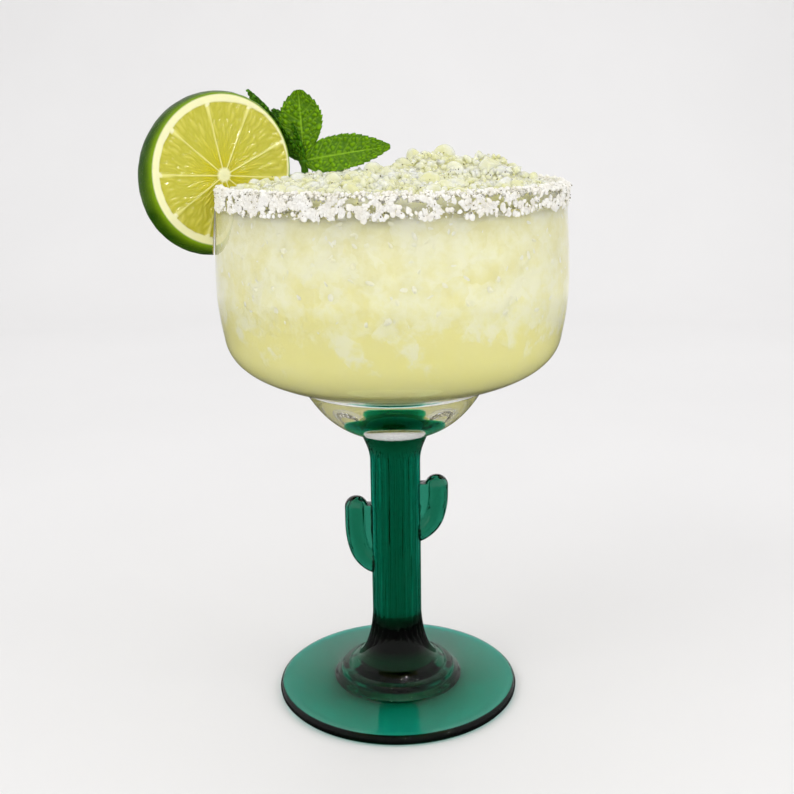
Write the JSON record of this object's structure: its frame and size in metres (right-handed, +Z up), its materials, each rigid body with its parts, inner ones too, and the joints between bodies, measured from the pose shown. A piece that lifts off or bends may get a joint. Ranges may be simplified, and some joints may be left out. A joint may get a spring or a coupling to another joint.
{
  "type": "margarita cocktail",
  "caption": "Stemmed glass with a wide clear bowl and a green cactus stem, filled with a pale lime drink and heaped crushed ice, with a salted rim, a slit lime wheel and a mint sprig.",
  "frame": {"origin": "centre of the foot's flat underside, on the axis of the stem", "axes": "+Z up along the stem; -Y towards the viewer; the lime wheel sits on the rim at -X, and the stem's two arms lie along -X and +X"},
  "size_m": [0.1401, 0.1179, 0.2128],
  "materials": {
    "clear_glass": "clear and smooth",
    "green_glass": "clear, deep green and smooth",
    "lime_drink": "cloudy pale yellow-green liquid",
    "crushed_ice": "wet, cloudy and translucent",
    "coarse_salt": "rough white grains",
    "lime": "moist flesh, white pith and waxy green rind",
    "mint": "soft quilted leaf"
  },
  "bodies": {
    "root": {"bowl": "clear_glass", "stem": "green_glass", "drink": "lime_drink", "crushed_ice": "crushed_ice", "salt_rim": "coarse_salt", "lime_wheel": "lime", "mint_sprig": "mint"}
  },
  "joints": []
}
